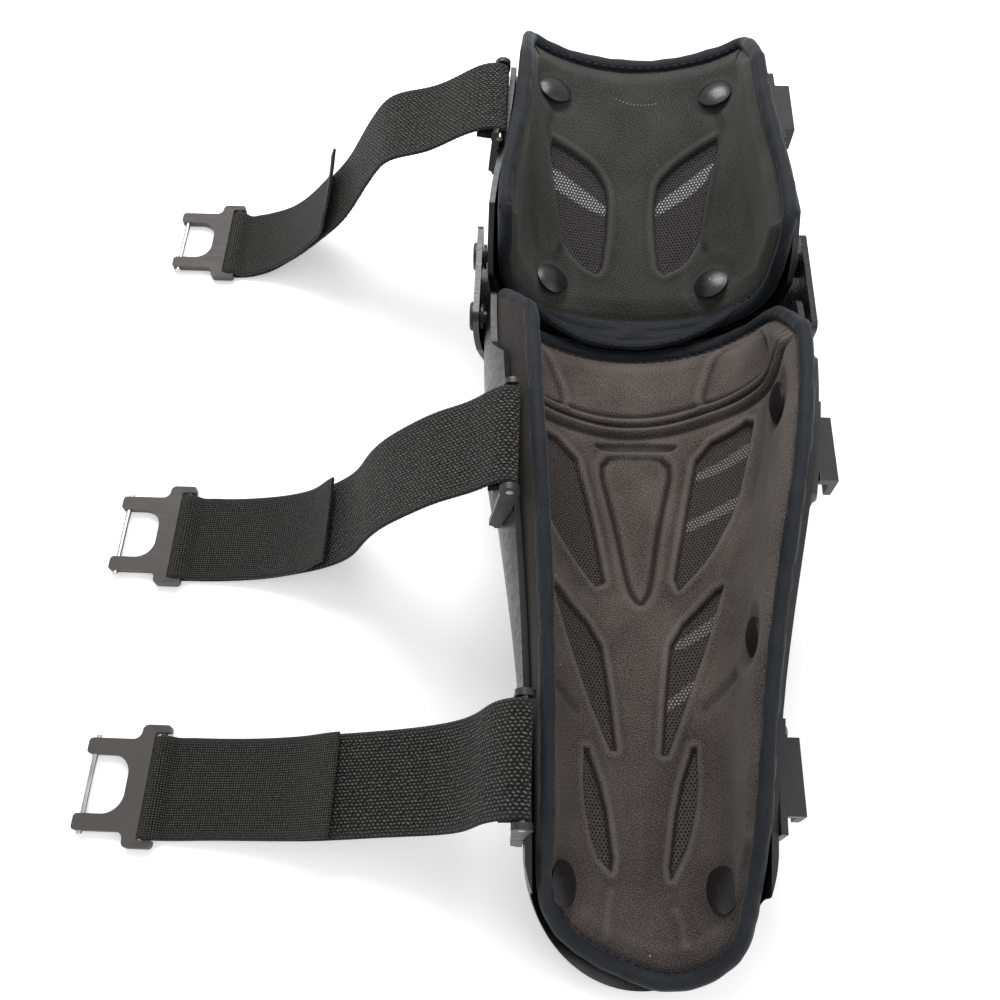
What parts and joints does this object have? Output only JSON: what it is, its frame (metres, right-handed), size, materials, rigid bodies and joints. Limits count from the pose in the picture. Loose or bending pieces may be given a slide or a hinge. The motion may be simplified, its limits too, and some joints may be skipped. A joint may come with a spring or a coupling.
{
  "type": "knee guard",
  "caption": "Articulated knee and shin guard with padded thigh and shin troughs, hinged knee cup, and elastic straps ending in wire-hook buckles.",
  "frame": {"origin": "the middle of the knee: midway between the two hinge axes and between the left and right hinges, 90 mm above the ground when the guard lies on its front", "axes": "+Y along the leg from shin to thigh, +Z from the front of the knee to the back of the leg (up, as the guard lies), +X away from the strap side"},
  "size_m": [0.3782, 0.5012, 0.1313],
  "materials": {
    "shell_plastic": "semi-gloss injection-moulded black",
    "cup_plastic": "semi-gloss black with a fine moulded grain",
    "rib_plastic": "matte dark grey wear parts",
    "hardware_plastic": "matte black moulded nylon",
    "buckle_plastic": "matte dark brown-grey moulded plastic with flash marks",
    "steel_wire": "bright drawn steel",
    "rivet_metal": "black lacquered steel",
    "cap_plastic": "glossy black domes",
    "shin_fabric": "moulded foam faced with dark brown-grey knit",
    "thigh_fabric": "moulded foam faced with near-black knit",
    "strap_webbing": "black woven elastic"
  },
  "bodies": {
    "shin": {"shin_shell": "shell_plastic", "shin_pad": "shin_fabric", "shin_pad_caps": "cap_plastic", "shin_spine": "rib_plastic", "shin_rivets": "rivet_metal", "upper_shin_strap_anchor": "hardware_plastic", "upper_shin_loop_bar": "steel_wire", "upper_shin_hook_receiver": "hardware_plastic", "lower_shin_strap_anchor": "hardware_plastic", "lower_shin_loop_bar": "steel_wire", "lower_shin_hook_receiver": "hardware_plastic"},
    "knee_cup": {"knee_cup": "cup_plastic", "cup_wear_plate": "rib_plastic", "cup_ribs": "rib_plastic", "thigh_hinge_pins": "rivet_metal", "shin_hinge_pins": "rivet_metal", "hinge_washers": "hardware_plastic"},
    "thigh": {"thigh_shell": "shell_plastic", "thigh_pad": "thigh_fabric", "thigh_pad_caps": "cap_plastic", "thigh_spine": "rib_plastic", "thigh_rivets": "rivet_metal", "thigh_strap_anchor": "hardware_plastic", "thigh_loop_bar": "steel_wire", "thigh_hook_receiver": "hardware_plastic"},
    "thigh_strap": {"thigh_strap": "strap_webbing"},
    "thigh_buckle": {"thigh_buckle": "buckle_plastic", "thigh_buckle_wire": "steel_wire"},
    "upper_shin_strap": {"upper_shin_strap": "strap_webbing"},
    "upper_shin_buckle": {"upper_shin_buckle": "buckle_plastic", "upper_shin_buckle_wire": "steel_wire"},
    "lower_shin_strap": {"lower_shin_strap": "strap_webbing"},
    "lower_shin_buckle": {"lower_shin_buckle": "buckle_plastic", "lower_shin_buckle_wire": "steel_wire"}
  },
  "joints": [
    {"name": "cup_on_shin", "type": "hinge", "parent": "shin", "child": "knee_cup", "pos_m": [0, -0.02, 0], "axis": [1, 0, 0], "range_deg": [0, 40]},
    {"name": "thigh_on_cup", "type": "hinge", "parent": "knee_cup", "child": "thigh", "pos_m": [0, 0.02, 0], "axis": [1, 0, 0], "range_deg": [0, 40]},
    {"name": "thigh_strap_swing", "type": "hinge", "parent": "thigh", "child": "thigh_strap", "pos_m": [-0.077, 0.1, 0.0345], "axis": [0, 1, 0], "range_deg": [0, 95]},
    {"name": "thigh_buckle_swing", "type": "hinge", "parent": "thigh_strap", "child": "thigh_buckle", "pos_m": [-0.252, 0.1, -0.0861], "axis": [0, 1, 0], "range_deg": [0, 85]},
    {"name": "upper_shin_strap_swing", "type": "hinge", "parent": "shin", "child": "upper_shin_strap", "pos_m": [-0.065, -0.112, 0.0345], "axis": [0, 1, 0], "range_deg": [0, 70]},
    {"name": "upper_shin_buckle_swing", "type": "hinge", "parent": "upper_shin_strap", "child": "upper_shin_buckle", "pos_m": [-0.248, -0.112, -0.0861], "axis": [0, 1, 0], "range_deg": [0, 85]},
    {"name": "lower_shin_strap_swing", "type": "hinge", "parent": "shin", "child": "lower_shin_strap", "pos_m": [-0.0555, -0.249, 0.004], "axis": [0, 1, 0], "range_deg": [0, 110]},
    {"name": "lower_shin_buckle_swing", "type": "hinge", "parent": "lower_shin_strap", "child": "lower_shin_buckle", "pos_m": [-0.237, -0.249, -0.0861], "axis": [0, 1, 0], "range_deg": [0, 85]}
  ]
}
